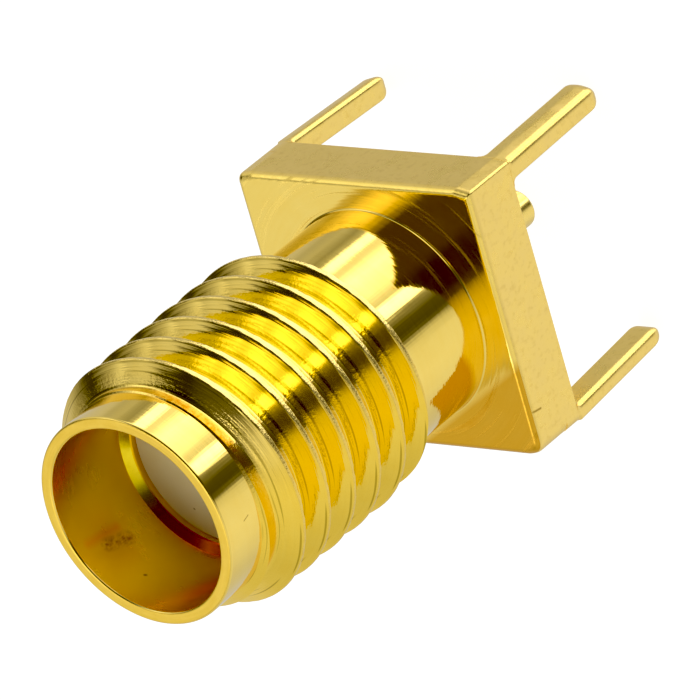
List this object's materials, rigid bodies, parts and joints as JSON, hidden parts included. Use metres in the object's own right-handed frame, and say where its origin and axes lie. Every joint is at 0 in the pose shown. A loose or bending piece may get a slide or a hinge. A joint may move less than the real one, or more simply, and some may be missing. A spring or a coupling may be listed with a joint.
{
  "type": "ssma coaxial board jack",
  "caption": "Gold-plated straight coaxial jack with an external thread, a square flange and corner legs, soldered into a circuit board to take a small screw-on coaxial plug.",
  "frame": {"origin": "on the connector's axis, in the plane of the flange's underside where it seats on the board", "axes": "+Z along the axis towards the mating end, X and Y square to the flange's sides"},
  "size_m": [0.005, 0.0051, 0.011],
  "materials": {
    "gold_plate": "bright gold plating over turned brass, satin on the milled flange sides and legs",
    "white_ptfe": "smooth matt white fluoropolymer",
    "contact_gold": "bright gold plating over copper alloy"
  },
  "bodies": {
    "root": {"body": "gold_plate", "insulator": "white_ptfe", "centre_contact": "contact_gold"}
  },
  "joints": []
}
